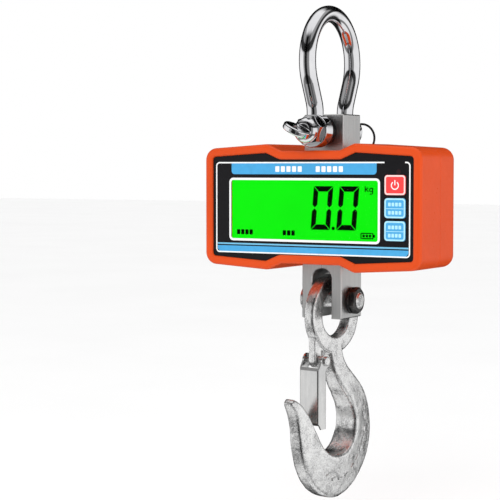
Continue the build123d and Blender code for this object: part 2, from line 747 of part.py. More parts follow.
with BuildPart() as battery_door:
    with BuildSketch(across(REAR_Y)):
        with Locations((BAY_X, CASE_Z)):
            RectangleRounded(DOOR_W, DOOR_H, DOOR_R)
    extrude(amount=DOOR_T)
    with BuildSketch(across(REAR_Y)):
        with Locations(*DOOR_SCREWS):
            Circle(SCREW_R + SEAT)
    extrude(amount=DOOR_T, mode=Mode.SUBTRACT)
    with BuildSketch(across(REAR_Y)):
        with Locations(*DOOR_SCREWS):
            Circle(SCREW_HEAD_R + SEAT)
    extrude(amount=DOOR_SCREW_HEAD_H, mode=Mode.SUBTRACT)
    chamfer(battery_door.faces().sort_by(Axis.Y)[-1].outer_wire().edges(), 0.5)
save(battery_door, "battery_door")

with BuildPart() as door_screws:
    with BuildSketch(across(REAR_Y)):
        with Locations(*DOOR_SCREWS):
            Circle(SCREW_HEAD_R)
            RegularPolygon(SCREW_SOCKET_R, 6, mode=Mode.SUBTRACT)
    extrude(amount=DOOR_SCREW_HEAD_H)
    with BuildSketch(across(REAR_Y - 0.75 * DOOR_SCREW_HEAD_H)):
        with Locations(*DOOR_SCREWS):
            Circle(SCREW_R)
    extrude(amount=SHORT_SCREW_L)
save(door_screws, "door_screws")

# ---------------------------------------------------------------- shackle
BOW_Z = BAR_R - BOW_R
with BuildPart() as shackle:
    turn = radians(BOW_TURN)
    shoulder = (BOW_R * cos(turn), BOW_Z - BOW_R * sin(turn))
    bend_z = shoulder[1] - (shoulder[0] - LEG_Y) * cos(turn) / sin(turn)
    leg_end_z = BOLT_Z + EYE_R - 4
    shackle_plane = Plane(origin=(0, SHACKLE_Y, 0), x_dir=(0, 1, 0), z_dir=(1, 0, 0))
    with BuildLine(shackle_plane) as bow:
        FilletPolyline(
            (-LEG_Y, leg_end_z), (-LEG_Y, bend_z), (-shoulder[0], shoulder[1]), radius=LEG_BEND_R)
        ThreePointArc((-shoulder[0], shoulder[1]), (0, BAR_R), shoulder)
        FilletPolyline(shoulder, (LEG_Y, bend_z), (LEG_Y, leg_end_z), radius=LEG_BEND_R)
    with BuildSketch(Plane.XY.offset(leg_end_z)):
        with Locations((0, SHACKLE_Y - LEG_Y)):
            Circle(BAR_R)
    sweep(path=bow.wires()[0])
    for side in (-1, 1):
        with BuildSketch(across(SHACKLE_Y + side * LEG_Y)):
            with Locations((0, BOLT_Z)):
                Circle(EYE_R)
        extrude(amount=EYE_T / 2, both=True)
    eye_rims = shackle.edges().filter_by(GeomType.CIRCLE).filter_by(
        lambda e: abs(e.radius - EYE_R) < 0.01)
    fillet(eye_rims, 1.2)
    # flat faces on both sides of each eye, where the bar is wider than the eye
    with BuildSketch(shackle_plane):
        for side in (-1, 1):
            for y in (LEG_Y - EYE_T / 2, LEG_Y + EYE_T / 2):
                inward = Align.MIN if (y < LEG_Y) == (side < 0) else Align.MAX
                with Locations((side * y, BOLT_Z + EYE_R - 1)):
                    Rectangle(EYE_T / 2, 2 * EYE_R, align=(inward, Align.MAX))
    extrude(amount=EYE_R, both=True, mode=Mode.SUBTRACT)
    with BuildSketch(across(0)):
        with Locations((0, BOLT_Z)):
            Circle(BOLT_R + FIT)
    extrude(amount=2 * LEG_Y, both=True, mode=Mode.SUBTRACT)
save(shackle, "shackle")

with BuildPart() as spacer_washers:
    inner_y = UPPER_D / 2 + MOVE
    for side in (-1, 1):
        outer_y = LEG_Y - EYE_T / 2 + side * SHACKLE_Y
        with BuildSketch(across(side * inner_y)):
            with Locations((0, BOLT_Z)):
                Circle(SPACER_R)
                Circle(BOLT_R + FIT, mode=Mode.SUBTRACT)
        extrude(amount=-side * (outer_y - inner_y))
    chamfer(spacer_washers.edges().filter_by(GeomType.CIRCLE).filter_by(
        lambda e: abs(e.radius - SPACER_R) < 0.01), 0.4)
save(spacer_washers, "spacer_washers")

WING_PLANE = Plane(
    origin=(0, 0, BOLT_Z),
    x_dir=(cos(radians(WING_TILT)), 0, -sin(radians(WING_TILT))),
    z_dir=(sin(radians(WING_TILT)), 0, cos(radians(WING_TILT))))
LEAN = radians(RING_LEAN)
RING_HOLE_PLANE = Plane(origin=(0, RING_Y, BOLT_Z), x_dir=(0, 1, 0), z_dir=(cos(LEAN), 0, sin(LEAN)))
RING_CENTRE = (RING_DROP * sin(LEAN), RING_Y, BOLT_Z - RING_DROP * cos(LEAN))
with BuildPart() as shackle_bolt:
    with BuildSketch(WING_PLANE):
        with Locations((0, WING_Y)):
            Ellipse(*WING_R)
    extrude(amount=WING_T / 2, both=True)
    wing_rims = shackle_bolt.edges().filter_by(lambda e: e.length > 40)
    fillet(wing_rims, 1.8)
    with BuildSketch(Plane.XY.offset(BOLT_Z)):
        with BuildLine():
            Polyline(
                (0, BOLT_END_Y), (BOLT_TIP_R - 0.8, BOLT_END_Y), (BOLT_TIP_R, BOLT_END_Y - 0.8),
                (BOLT_TIP_R, BOLT_TIP_Y), (BOLT_R, BOLT_TIP_Y - 1.5), (BOLT_R, COLLAR_Y),
                (COLLAR_R, COLLAR_Y), (COLLAR_R, COLLAR_Y - COLLAR_EDGE))
            ThreePointArc(
                (COLLAR_R, COLLAR_Y - COLLAR_EDGE),
                (0.85 * COLLAR_R, COLLAR_Y - 0.75 * COLLAR_T),
                (0.5 * COLLAR_R, COLLAR_Y - COLLAR_T))
            Polyline((0.5 * COLLAR_R, COLLAR_Y - COLLAR_T), (0, COLLAR_Y - COLLAR_T), (0, BOLT_END_Y))
        make_face()
    revolve(axis=Axis((0, 0, BOLT_Z), (0, 1, 0)))
    with BuildSketch(WING_PLANE):
        with Locations((0, WING_HOLE_Y)):
            Circle(WING_HOLE_R)
    extrude(amount=WING_T, both=True, mode=Mode.SUBTRACT)
    # cross hole for the safety ring, leaning as the ring does
    with BuildSketch(RING_HOLE_PLANE):
        Circle(RING_HOLE_R)
    extrude(amount=COLLAR_R, both=True, mode=Mode.SUBTRACT)
save(shackle_bolt, "shackle_bolt")

with BuildPart() as shackle_nut:
    nut_front_y = COLLAR_Y
    nut_back_y = SHACKLE_Y - LEG_Y - EYE_T / 2
    with BuildSketch(across(nut_back_y)):
        with Locations((0, BOLT_Z)):
            RegularPolygon(NUT_AF / 2, 6, major_radius=False, rotation=NUT_TURN)
            Circle(BOLT_R + FIT, mode=Mode.SUBTRACT)
    extrude(amount=nut_back_y - nut_front_y)
    # the corners are turned off at both ends
    with BuildSketch(Plane.XY.offset(BOLT_Z)):
        with BuildLine():
            Polyline(
                (BOLT_R - 1, nut_back_y), (NUT_AF / 2, nut_back_y), (NUT_AF / 2 + 3, nut_back_y - 1.6),
                (NUT_AF / 2 + 3, nut_front_y + 1.6), (NUT_AF / 2, nut_front_y),
                (BOLT_R - 1, nut_front_y), close=True)
        make_face()
    revolve(axis=Axis((0, 0, BOLT_Z), (0, 1, 0)), mode=Mode.INTERSECT)
save(shackle_nut, "shackle_nut")

with BuildPart() as safety_ring:
    with BuildSketch(Plane(origin=RING_CENTRE, x_dir=(1, 0, 0), z_dir=(0, 0, 1))):
        with Locations((RING_R, 0)):
            Circle(RING_WIRE_R)
    revolve(axis=Axis(RING_CENTRE, (0, 1, 0)))
save(safety_ring, "safety_ring")

# ---------------------------------------------------------------- hook pin
with BuildPart() as hook_pin:
    face_x = COLUMN_W / 2 + MOVE + WASHER_T
    with BuildSketch(Plane.XY.offset(PIN_Z)):
        with BuildLine():
            Polyline(
                (PIN_END_X, 0), (PIN_END_X, PIN_R - 1.6), (PIN_END_X - 1.2, PIN_R - 0.4),
                (PIN_END_X - 1.2, PIN_R), (-face_x, PIN_R), (-face_x, PIN_HEAD_R),
                (-face_x - 4, PIN_HEAD_R))
            ThreePointArc(
                (-face_x - 4, PIN_HEAD_R),
                (-face_x - 5.7, PIN_HEAD_R - 4),
                (-face_x - PIN_HEAD_T, PIN_HEAD_R - 8))
            Polyline((-face_x - PIN_HEAD_T, PIN_HEAD_R - 8), (-face_x - PIN_HEAD_T, 0), (PIN_END_X, 0))
        make_face()
    revolve(axis=Axis((0, 0, PIN_Z), (1, 0, 0)))
save(hook_pin, "hook_pin")

with BuildPart() as pin_washers:
    for side in (-1, 1):
        with BuildSketch(Plane.YZ.offset(side * (COLUMN_W / 2 + MOVE))):
            with Locations((0, PIN_Z)):
                Circle(WASHER_R)
                Circle(PIN_R + FIT, mode=Mode.SUBTRACT)
        extrude(amount=side * WASHER_T)
    chamfer(pin_washers.edges().filter_by(GeomType.CIRCLE).filter_by(
        lambda e: abs(e.radius - WASHER_R) < 0.01), 0.3)
save(pin_washers, "pin_washers")

with BuildPart() as pin_nut:
    with BuildSketch(Plane.YZ.offset(face_x)):
        with Locations((0, PIN_Z)):
            RegularPolygon(PIN_NUT_AF / 2, 6, major_radius=False, rotation=PIN_NUT_TURN)
            Circle(PIN_R + FIT, mode=Mode.SUBTRACT)
    extrude(amount=PIN_NUT_T)
    with BuildSketch(Plane.XY.offset(PIN_Z)):
        with BuildLine():
            Polyline(
                (face_x, PIN_R - 1), (face_x, PIN_NUT_AF / 2 + 3),
                (face_x + PIN_NUT_T - 1.5, PIN_NUT_AF / 2 + 3), (face_x + PIN_NUT_T, PIN_NUT_AF / 2),
                (face_x + PIN_NUT_T, PIN_R - 1), close=True)
        make_face()
    revolve(axis=Axis((0, 0, PIN_Z), (1, 0, 0)), mode=Mode.INTERSECT)
save(pin_nut, "pin_nut")

# ---------------------------------------------------------------- hook
TURN = radians(HOOK_TURN)
HOOK_PLANE = Plane(origin=(0, 0, 0), x_dir=(sin(TURN), cos(TURN), 0), z_dir=(cos(TURN), -sin(TURN), 0))


def hook_point(s, z):
    """A point in the hook's plane: s from the load line, towards the hook's back."""
    return Vector(s * sin(TURN), s * cos(TURN), z)


def section_plane(index):
    """The plane square to the hook's centre line at one of its sections."""
    before = HOOK_SECTIONS[max(index - 1, 0)]
    after = HOOK_SECTIONS[min(index + 1, len(HOOK_SECTIONS) - 1)]
    along = hook_point(after[0], after[1]) - hook_point(before[0], before[1])
    here = HOOK_SECTIONS[index]
    side = along.cross(HOOK_PLANE.z_dir)
    return Plane(origin=hook_point(here[0], here[1]), x_dir=side, z_dir=along)


with BuildPart() as hook:
    # body, from inside the eye's lower bar to the tip
    for index, (s, z, half_w, inside_t, outside_t) in enumerate(HOOK_SECTIONS):
        with BuildSketch(section_plane(index)) as section:
            Polygon(
                (half_w, -inside_t), (half_w, inside_t), (-half_w, outside_t), (-half_w, -outside_t),
                align=None)
            fillet(section.vertices(), HOOK_CORNER * min(half_w, outside_t))
    loft()
    fillet(hook.edges().filter_by(
        lambda e: (e.center() - hook_point(*HOOK_SECTIONS[-1][:2])).length < 6 and e.length < 8), 1.0)
    # eye
    with BuildSketch(Plane(origin=hook_point(0, EYE_RING_Z), x_dir=hook_point(1, 0), z_dir=(0, 0, 1))):
        with Locations((EYE_RING_R, 0)):
            RectangleRounded(2 * EYE_BAR_R, 2 * EYE_BAR_HALF_T, EYE_BAR_CORNER)
    revolve(axis=Axis(hook_point(0, EYE_RING_Z), HOOK_PLANE.z_dir))
    # lug that carries the latch
    with BuildSketch(HOOK_PLANE):
        with Locations((LUG_S, LUG_Z)):
            Circle(LUG_R)
            Rectangle(2 * LUG_R, EYE_RING_Z - 18 - LUG_Z, align=(Align.CENTER, Align.MIN))
    extrude(amount=LUG_HALF_T, both=True)
    with BuildSketch(HOOK_PLANE):
        with Locations((LUG_S, LUG_Z)):
            Circle(RIVET_R + FIT)
    extrude(amount=2 * LUG_HALF_T, both=True, mode=Mode.SUBTRACT)
save(hook, "hook")

# ---------------------------------------------------------------- latch
with BuildPart() as latch:
    with BuildSketch(HOOK_PLANE) as side_view:
        with BuildLine():
            Polyline(
                (LUG_S - LATCH_EAR_R, LUG_Z), (LUG_S + LATCH_EAR_R, LUG_Z),
                (LATCH_OPEN_S, LUG_Z - LATCH_EAR_R), (LATCH_OPEN_S, LATCH_END_Z),
                (LATCH_WEB_S + 4, LATCH_END_Z), (LATCH_WEB_S, LATCH_END_Z + 6),
                (LATCH_WEB_S, LUG_Z - LATCH_EAR_R - 2), close=True)
        make_face()
        with Locations((LUG_S, LUG_Z)):
            Circle(LATCH_EAR_R)
    extrude(amount=LATCH_HALF_W, both=True)
    fillet(latch.edges().filter_by(Axis((0, 0, 0), (0, 0, 1))).filter_by(
        lambda e: e.length > 40), 2.2)
    with BuildSketch(HOOK_PLANE):
        with Locations((LATCH_WEB_S + LATCH_T, LUG_Z + 10)):
            Rectangle(40, 90, align=(Align.MIN, Align.MAX))
    extrude(amount=LATCH_HALF_W - LATCH_T, both=True, mode=Mode.SUBTRACT)
    with BuildSketch(HOOK_PLANE):
        with Locations((LUG_S, LUG_Z)):
            Circle(RIVET_R + FIT)
    extrude(amount=2 * LATCH_HALF_W, both=True, mode=Mode.SUBTRACT)
save(latch, "latch")

with BuildPart() as latch_rivet:
    with BuildSketch(HOOK_PLANE):
        with Locations((LUG_S, LUG_Z)):
            Circle(RIVET_R)
    extrude(amount=LATCH_HALF_W, both=True)
    for side in (-1, 1):
        with BuildSketch(HOOK_PLANE.offset(side * LATCH_HALF_W)):
            with Locations((LUG_S, LUG_Z)):
                Circle(RIVET_HEAD_R)
        extrude(amount=side * RIVET_HEAD_T)
    fillet(latch_rivet.faces().sort_by(Axis((0, 0, 0), HOOK_PLANE.z_dir))[0].edges(), 1.2)
    fillet(latch_rivet.faces().sort_by(Axis((0, 0, 0), HOOK_PLANE.z_dir))[-1].edges(), 1.2)
save(latch_rivet, "latch_rivet")

with BuildPart() as latch_spring:
    coil_plane = HOOK_PLANE.offset(LUG_HALF_T + SPRING_WIRE_R + MOVE)
    coil_centre = coil_plane.from_local_coords((LUG_S, LUG_Z, 0))
    coil = Helix(
        pitch=SPRING_PITCH, height=SPRING_TURNS * SPRING_PITCH, radius=SPRING_R,
        center=coil_centre, direction=HOOK_PLANE.z_dir, mode=Mode.PRIVATE)
    upper_end = (coil @ 0) + Vector(0, 0, 9)
    lower_end = hook_point(LATCH_WEB_S + 2.4, LUG_Z - 24) + HOOK_PLANE.z_dir * 5
    for path in (coil, Edge.make_line(coil @ 0, upper_end), Edge.make_line(coil @ 1, lower_end)):
        with BuildSketch(Plane(origin=path @ 0, z_dir=path % 0)):
            Circle(SPRING_WIRE_R)
        sweep(path=path)
save(latch_spring, "latch_spring")
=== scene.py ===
"""The looks of a hanging crane scale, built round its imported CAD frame. Metres, +Z up, display towards -Y."""
import json
import math

import bmesh
import bpy
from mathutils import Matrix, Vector
from mathutils.bvhtree import BVHTree


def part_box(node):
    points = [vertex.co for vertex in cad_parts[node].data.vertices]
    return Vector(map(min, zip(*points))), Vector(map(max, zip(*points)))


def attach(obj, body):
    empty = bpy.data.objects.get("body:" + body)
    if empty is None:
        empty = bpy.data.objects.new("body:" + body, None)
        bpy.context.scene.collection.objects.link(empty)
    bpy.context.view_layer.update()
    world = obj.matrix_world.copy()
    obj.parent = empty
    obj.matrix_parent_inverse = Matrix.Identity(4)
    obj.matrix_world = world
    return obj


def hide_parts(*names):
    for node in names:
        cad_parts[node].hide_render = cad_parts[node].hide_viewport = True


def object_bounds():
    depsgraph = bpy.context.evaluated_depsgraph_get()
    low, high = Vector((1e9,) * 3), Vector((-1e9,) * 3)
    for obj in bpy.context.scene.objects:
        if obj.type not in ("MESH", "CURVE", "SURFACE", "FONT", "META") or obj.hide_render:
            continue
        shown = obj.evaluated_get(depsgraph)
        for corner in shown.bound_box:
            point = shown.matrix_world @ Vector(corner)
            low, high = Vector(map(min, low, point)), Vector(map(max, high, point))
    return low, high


MM = 0.001

# Camera: where it stands round the scale, and which way it looks
CAMERA_AZIMUTH = 27.53
CAMERA_DISTANCE = 1.4071
CAMERA_HEIGHT = -0.1286
CAMERA_HEADING = 30.56
CAMERA_PITCH = 3.1
CAMERA_LENS = 111.7

# Floor: how far under the scale, and half its width
FLOOR_GAP = 0.05
FLOOR_HALF = 12.0

# Studio round the scale: degrees from the camera's side, to the viewer's right, and brightness there
STUDIO_FLAGS = (
    (-180, 0.03), (-134, 0.03), (-127, 1.0), (-66, 1.0), (-60, 0.42), (-47, 0.38), (-43, 0.015), (-14, 0.015),
    (-10, 0.24), (17, 0.28), (24, 1.0), (122, 1.0), (129, 0.03), (180, 0.03))
# Flags over and under the scale: sine of the height angle, and brightness there
STUDIO_TIERS = (
    (-1.0, 1.0), (-0.68, 1.0), (-0.62, 0.25), (-0.46, 0.25), (-0.40, 1.0), (0.26, 1.0), (0.32, 0.04),
    (0.52, 0.04), (0.56, 0.35), (0.74, 0.40), (0.80, 1.0), (1.0, 1.0))

# The hook's plane stands this far out of square with the housing
HOOK_TURN = math.radians(8.0)

# Prints on the panel: x, z in millimetres in the row frame
INK_T = 0.06
PANEL_RIM = (-96.5, 96.5, -206.5, -125.6)
PANEL_RIM_GAP = (72.5, 92.0)
HEADER = (-80.6, 65.1, -136.0, -126.2)
HEADER_WORDS = ((-35.0, -6.6), (5.8, 34.2))
HEADER_WORD_Z = -131.3
DISPLAY_RIM = (-83.0, 68.5, -196.0, -139.2)
THIN_STRIPE = (-95.6, 95.6, -199.6, -198.2)
BROAD_STRIPE = (-95.6, 95.6, -205.9, -200.7)
RIM_W = 1.2
PRINT_CORNER = 3.0
STRIPE_CHAMFER = 2.4
WORD_MARKS = 5
WORD_HALF_H = 2.5
DISPLAY_RIM_W = 2.0
SENSOR_R = 2.1

# Digits and marks on the display, in millimetres in the row frame
DIGIT_BOTTOM, DIGIT_TOP = -184.7, -146.3
DIGIT_W = 19.2
DIGIT_LEFTS = (0.2, 25.6)
SEGMENT_W = 4.7
SEGMENT_GAP = 0.45
SEGMENT_T = 0.05
SLANT = math.tan(math.radians(5.0))
POINT = (21.2, 24.2)
BATTERY = (49.4, 61.8, -191.9, -186.5)
BATTERY_WALL = 0.9
STATE_MARKS = ((-75.6, 4), (-28.0, 3))
STATE_PITCH = 4.4

# Buttons' printed rims and marks, in millimetres
BUTTON_HALF = (9.8, 8.5)
BUTTON_RIM_W = 1.4
BUTTON_MARKS = 4
BUTTON_MARK_PITCH = 3.3

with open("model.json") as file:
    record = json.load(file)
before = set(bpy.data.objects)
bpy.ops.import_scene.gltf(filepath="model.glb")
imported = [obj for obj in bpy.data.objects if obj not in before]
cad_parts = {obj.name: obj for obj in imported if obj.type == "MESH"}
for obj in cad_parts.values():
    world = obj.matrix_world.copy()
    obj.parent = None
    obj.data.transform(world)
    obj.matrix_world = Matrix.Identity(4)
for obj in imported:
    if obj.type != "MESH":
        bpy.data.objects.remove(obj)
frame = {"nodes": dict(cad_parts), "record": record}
rest_lo, rest_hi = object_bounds()
NODES = frame["nodes"]
SLOTS = {entry["node"]: entry["material_slot"] for entry in frame["record"]["subparts"]}


# ------------------------------------------------------------------ materials
class Shader:
    """A material's node tree with one Principled shader, and short calls for what feeds it."""

    def __init__(self, name, **sockets):
        self.material = bpy.data.materials.new(name)
        self.material.use_nodes = True
        self.tree = self.material.node_tree
        self.surface = self.tree.nodes["Principled BSDF"]
        self.place = self.tree.nodes.new("ShaderNodeTexCoord").outputs["Object"]
        for socket, value in sockets.items():
            self.set(socket, value)

    def set(self, socket, value):
        target = self.surface.inputs[socket.replace("_", " ")]
        if isinstance(value, bpy.types.NodeSocket):
            self.tree.links.new(value, target)
        elif target.type == "RGBA":
            target.default_value = (*value[:3], 1.0)
        else:
            target.default_value = value

    def stretched(self, stretch):
        """Object coordinates multiplied along each axis."""
        mapping = self.tree.nodes.new("ShaderNodeMapping")
        mapping.inputs["Scale"].default_value = stretch
        self.tree.links.new(self.place, mapping.inputs["Vector"])
        return mapping.outputs["Vector"]

    def noise(self, scale, detail=4.0, roughness=0.55, stretch=(1, 1, 1), distortion=0.0):
        node = self.tree.nodes.new("ShaderNodeTexNoise")
        node.inputs["Scale"].default_value = scale
        node.inputs["Detail"].default_value = detail
        node.inputs["Roughness"].default_value = roughness
        node.inputs["Distortion"].default_value = distortion
        self.tree.links.new(self.stretched(stretch), node.inputs["Vector"])
        return node.outputs["Fac"]

    def cells(self, scale, feature="F1"):
        node = self.tree.nodes.new("ShaderNodeTexVoronoi")
        node.feature = feature
        node.inputs["Scale"].default_value = scale
        self.tree.links.new(self.place, node.inputs["Vector"])
        return node.outputs["Distance"]

    def ramp(self, factor, *stops):
        """Colours along a factor, each stop a position and a colour."""
        node = self.tree.nodes.new("ShaderNodeValToRGB")
        elements = node.color_ramp.elements
        while len(elements) < len(stops):
            elements.new(0.5)
        for element, (position, colour) in zip(elements, stops):
            element.position = position
            element.color = (*colour, 1.0)
        self.tree.links.new(factor, node.inputs["Fac"])
        return node.outputs["Color"]

    def between(self, factor, low, high, start=0.3, end=0.7):
        """A number from low to high as the factor goes from start to end."""
        node = self.tree.nodes.new("ShaderNodeMapRange")
        for socket, value in (("From Min", start), ("From Max", end), ("To Min", low), ("To Max", high)):
            node.inputs[socket].default_value = value
        self.tree.links.new(factor, node.inputs["Value"])
        return node.outputs["Result"]

    def combine(self, operation, a, b):
        node = self.tree.nodes.new("ShaderNodeMath")
        node.operation = operation
        for socket, value in zip(node.inputs, (a, b)):
            if isinstance(value, bpy.types.NodeSocket):
                self.tree.links.new(value, socket)
            else:
                socket.default_value = value
        return node.outputs[0]

    def bump(self, height, distance, strength=1.0):
        node = self.tree.nodes.new("ShaderNodeBump")
        node.inputs["Distance"].default_value = distance
        node.inputs["Strength"].default_value = strength
        self.tree.links.new(height, node.inputs["Height"])
        self.set("Normal", node.outputs["Normal"])


def shade(colour, factor):
    return tuple(min(1.0, channel * factor) for channel in colour[:3])


def chrome():
    s = Shader("chrome", Metallic=1.0)
    smears = s.noise(38, 5, 0.6)
    s.set("Base Color", s.ramp(smears, (0.3, (0.70, 0.70, 0.72)), (0.75, (0.86, 0.86, 0.87))))
    s.set("Roughness", s.between(smears, 0.04, 0.10))
    s.bump(s.noise(90, 2, 0.4), 0.00002)
    return s.material


def machined_steel():
    s = Shader("machined_steel", Metallic=1.0)
    brushing = s.noise(420, 6, 0.7, stretch=(1, 1, 0.05))
    clouding = s.noise(30, 3, 0.5)
    tone = s.combine("ADD", s.combine("MULTIPLY", brushing, 0.6), s.combine("MULTIPLY", clouding, 0.4))
    s.set("Base Color", s.ramp(tone, (0.3, (0.50, 0.50, 0.50)), (0.7, (0.72, 0.72, 0.71))))
    s.set("Roughness", s.between(brushing, 0.26, 0.42))
    s.bump(brushing, 0.00003)
    return s.material


def zinc_steel(name="zinc_steel", depth=0.00034):
    """Bright zinc over a forged skin: pitted, with lighter and darker grains."""
    s = Shader(name, Metallic=1.0)
    grains = s.noise(900, 3, 0.7)
    patches = s.noise(85, 5, 0.65, distortion=0.4)
    tone = s.combine("ADD", s.combine("MULTIPLY", grains, 0.55), s.combine("MULTIPLY", patches, 0.45))
    s.set("Base Color", s.ramp(
        tone, (0.36, (0.24, 0.24, 0.24)), (0.46, (0.62, 0.62, 0.62)), (0.58, (0.93, 0.93, 0.92))))
    s.set("Roughness", s.between(patches, 0.20, 0.36))
    pits = s.combine("ADD", s.combine("MULTIPLY", grains, 0.35), s.noise(260, 4, 0.6))
    s.bump(pits, depth)
    return s.material


def sheet_steel():
    s = Shader("sheet_steel", Metallic=1.0)
    rolling = s.noise(240, 3, 0.5, stretch=(1, 1, 0.12))
    clouding = s.noise(45, 4, 0.6)
    tone = s.combine("ADD", s.combine("MULTIPLY", rolling, 0.4), s.combine("MULTIPLY", clouding, 0.6))
    s.set("Base Color", s.ramp(tone, (0.35, (0.56, 0.56, 0.56)), (0.65, (0.72, 0.72, 0.71))))
    s.set("Roughness", s.between(clouding, 0.17, 0.30))
    s.bump(rolling, 0.000006)
    return s.material


def dark_steel():
    s = Shader("dark_steel", Metallic=1.0)
    wear = s.noise(150, 5, 0.65)
    s.set("Base Color", s.ramp(wear, (0.42, (0.035, 0.035, 0.037)), (0.72, (0.16, 0.155, 0.15))))
    s.set("Roughness", s.between(wear, 0.30, 0.48))
    s.bump(s.noise(700, 4), 0.00003)
    return s.material


def plastic(name, colour, roughness=0.36, grain=0.00002, coat=0.0, specular=0.5):
    """Moulded plastic with a fine spark-eroded grain and slight clouding."""
    s = Shader(name, Coat_Weight=coat, Coat_Roughness=0.12, Specular_IOR_Level=specular)
    clouding = s.noise(14, 4, 0.6)
    s.set("Base Color", s.ramp(clouding, (0.3, shade(colour, 0.93)), (0.7, shade(colour, 1.05))))
    s.set("Roughness", s.between(s.noise(220, 5, 0.6), roughness - 0.05, roughness + 0.06))
    s.bump(s.noise(2600, 3, 0.6), grain)
    return s.material


def ink(name, colour, roughness=0.42, specular=0.35):
    """A screen-printed ink: slightly uneven, with a fine mesh mark."""
    s = Shader(name, Specular_IOR_Level=specular)
    coverage = s.noise(180, 4, 0.6)
    s.set("Base Color", s.ramp(coverage, (0.25, shade(colour, 0.9)), (0.6, shade(colour, 1.0))))
    s.set("Roughness", s.between(coverage, roughness - 0.05, roughness + 0.05))
    s.bump(s.noise(3200, 2), 0.000008)
    return s.material


def panel_film():
    s = Shader("panel_film", Specular_IOR_Level=0.2)
    dust = s.noise(1500, 5, 0.75)
    s.set("Base Color", s.ramp(dust, (0.45, (0.0055, 0.0052, 0.0066)), (0.75, (0.014, 0.013, 0.016))))
    s.set("Roughness", s.between(s.noise(45, 4), 0.30, 0.44))
    s.bump(s.noise(1900, 2), 0.00001)
    return s.material


def clear_window():
    s = Shader("clear_window", Base_Color=(0.01, 0.03, 0.01), Alpha=0.03, Specular_IOR_Level=0.12)
    s.set("Roughness", s.between(s.noise(60, 4), 0.06, 0.13))
    s.bump(s.noise(25, 2), 0.00001)
    s.material.surface_render_method = "BLENDED"
    return s.material


def lit_display():
    """The lit cell: an even green with the faint grain of its diffuser."""
    s = Shader("lcd_green", Roughness=0.4, Specular_IOR_Level=0.1, Emission_Strength=0.9)
    diffuser = s.noise(22, 3, 0.5)
    s.set("Base Color", s.ramp(diffuser, (0.3, (0.0, 0.06, 0.0)), (0.7, (0.0, 0.08, 0.0))))
    s.set("Emission Color", s.ramp(diffuser, (0.3, (0.0, 0.96, 0.0)), (0.7, (0.0, 1.0, 0.0))))
    s.bump(s.noise(2400, 2), 0.000006)
    return s.material


def rubber(name, colour):
    s = Shader(name)
    bloom = s.noise(70, 5, 0.6)
    s.set("Base Color", s.ramp(bloom, (0.35, colour), (0.75, shade(colour, 1.8))))
    s.set("Roughness", s.between(bloom, 0.62, 0.82))
    s.bump(s.noise(900, 4), 0.00005)
    return s.material


def circuit_board():
    s = Shader("circuit_board", Coat_Weight=0.3, Coat_Roughness=0.15)
    tracks = s.cells(260)
    s.set("Base Color", s.ramp(tracks, (0.08, (0.05, 0.26, 0.09)), (0.16, (0.015, 0.12, 0.04))))
    s.set("Roughness", s.between(s.noise(90), 0.35, 0.5))
    s.bump(tracks, 0.00003)
    return s.material


def foil():
    s = Shader("gauge_foil", Metallic=0.7)
    grid = s.noise(600, 2, 0.5, stretch=(1, 1, 0.08))
    s.set("Base Color", s.ramp(grid, (0.42, (0.70, 0.48, 0.16)), (0.58, (0.32, 0.20, 0.07))))
    s.set("Roughness", s.between(grid, 0.3, 0.5))
    s.bump(grid, 0.00003)
    return s.material


ORANGE = (0.69, 0.068, 0.006)
RED = (0.84, 0.040, 0.042)
BLUE = (0.055, 0.375, 0.72)
SKY = (0.060, 0.38, 0.72)
PALE_BLUE = (0.42, 0.78, 0.93)
MID_BLUE = (0.17, 0.51, 0.75)
PINK = (0.95, 0.68, 0.66)
WHITE = (0.92, 0.93, 0.93)

MATERIALS = {
    "chromed_steel": chrome(),
    "machined_steel": machined_steel(),
    "zinc_steel": zinc_steel(),
    "sheet_steel": sheet_steel(),
    "dark_steel": dark_steel(),
    "orange_plastic": plastic("orange_plastic", ORANGE, 0.32, 0.000016, specular=0.25),
    "panel_film": panel_film(),
    "clear_window": clear_window(),
    "lcd_green": lit_display(),
    "white_plastic": plastic("white_plastic", (0.80, 0.80, 0.78)),
    "red_button": plastic("red_button", RED, 0.3, 0.00001, coat=0.3),
    "blue_button": plastic("blue_button", BLUE, 0.3, 0.00001, coat=0.3),
    "circuit_board": circuit_board(),
    "black_plastic": plastic("black_plastic", (0.022, 0.022, 0.024), 0.45, 0.00004),
    "black_rubber": rubber("black_rubber", (0.014, 0.014, 0.014)),
    "gauge_foil": foil(),
    "cable_sheath": rubber("cable_sheath", (0.022, 0.022, 0.022)),
    "contact_steel": zinc_steel("contact_steel", 0.00003),
    "cell_sleeve": plastic("cell_sleeve", (0.07, 0.16, 0.36), 0.25, 0.00001, coat=0.4),
}
WHITE_INK = ink("white_ink", WHITE)
SKY_INK = ink("sky_ink", SKY)
PALE_INK = ink("pale_blue_ink", PALE_BLUE)
STRIPE_INK = ink("stripe_ink", MID_BLUE)
PINK_INK = ink("pink_ink", PINK)
SEGMENT_INK = ink("segment_ink", (0.001, 0.003, 0.001), 0.6, 0.0)
SENSOR_INK = ink("sensor_ink", (0.022, 0.005, 0.007), 0.3)

for node_name, node in NODES.items():
    node.data.materials.clear()
    node.data.materials.append(MATERIALS[SLOTS[node_name]])


# ------------------------------------------------------------------ mesh helpers
def new_piece(name, body, material, verts, faces, smooth=False):
    mesh = bpy.data.meshes.new(name)
    mesh.from_pydata([Vector(v) for v in verts], [], faces)
    mesh.update()
    piece = bpy.data.objects.new(name, mesh)
    bpy.context.scene.collection.objects.link(piece)
    mesh.materials.append(material)
    if smooth:
        mesh.shade_smooth()
    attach(piece, body)
    return piece


